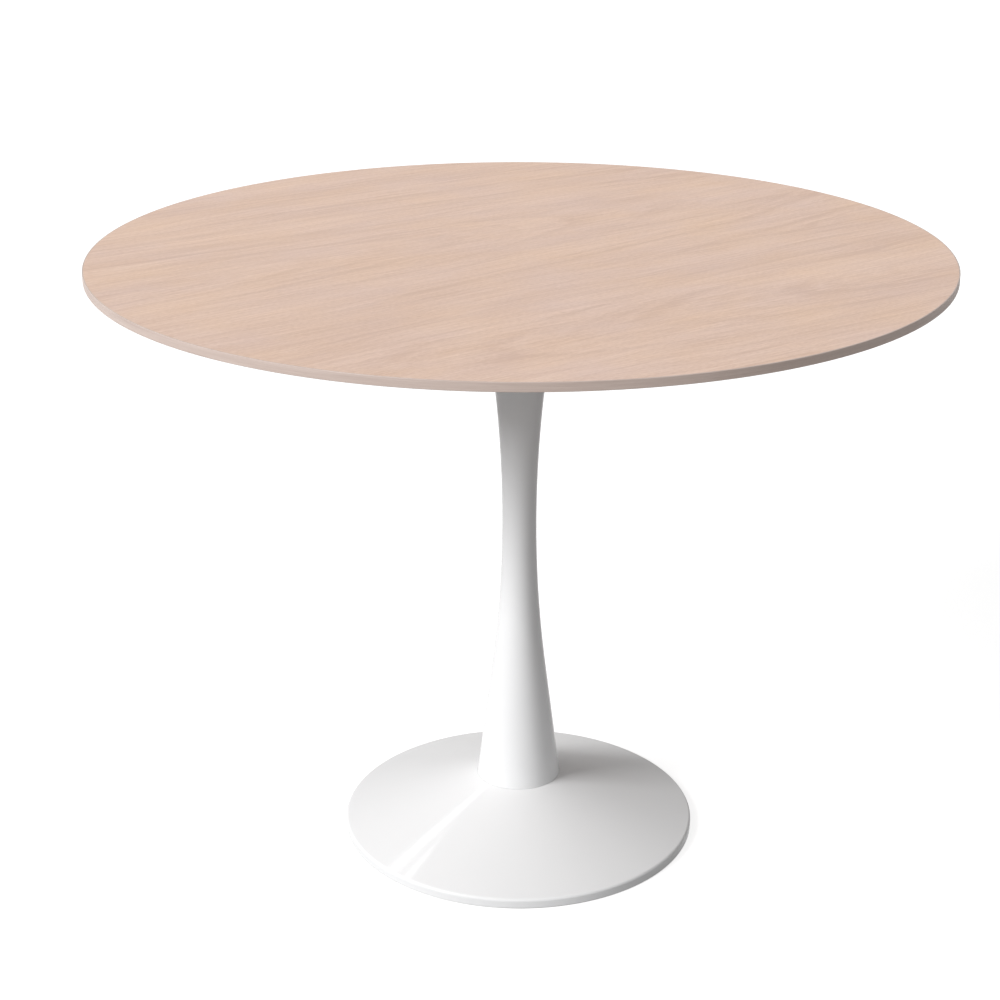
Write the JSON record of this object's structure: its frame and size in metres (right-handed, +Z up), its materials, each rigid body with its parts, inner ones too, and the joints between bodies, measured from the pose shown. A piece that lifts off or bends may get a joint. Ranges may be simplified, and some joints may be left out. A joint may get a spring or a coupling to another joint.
{
  "type": "pedestal table",
  "caption": "Round pedestal table: a thin pale oak veneered top with a bevelled underside, on a white spun steel hourglass column and a low conical base.",
  "frame": {"origin": "on the floor, under the centre of the table", "axes": "+Z up along the column's axis; X and Y lie in the floor and are interchangeable on a round table"},
  "size_m": [0.9999, 1, 0.745],
  "materials": {
    "oak": "matt lacquered pale oak",
    "fibreboard": "sealed and lacquered",
    "white_coat": "satin white powder coat",
    "black_coat": "matt black primer",
    "zinc": "bright zinc plate",
    "white_plastic": "moulded polypropylene"
  },
  "bodies": {
    "root": {"face_veneer": "oak", "edge_band": "oak", "balancing_veneer": "oak", "top_core": "fibreboard", "insert_nuts": "zinc", "mounting_plate": "white_coat", "plate_screws": "zinc", "plate_spring_washers": "zinc", "column_shell": "white_coat", "foot_flange": "white_coat", "base_shell": "white_coat", "crown_plate": "black_coat", "foot_flat_washers": "zinc", "foot_spring_washers": "zinc", "foot_bolts": "zinc", "ballast_ring": "black_coat", "floor_ring": "white_plastic"}
  },
  "joints": []
}
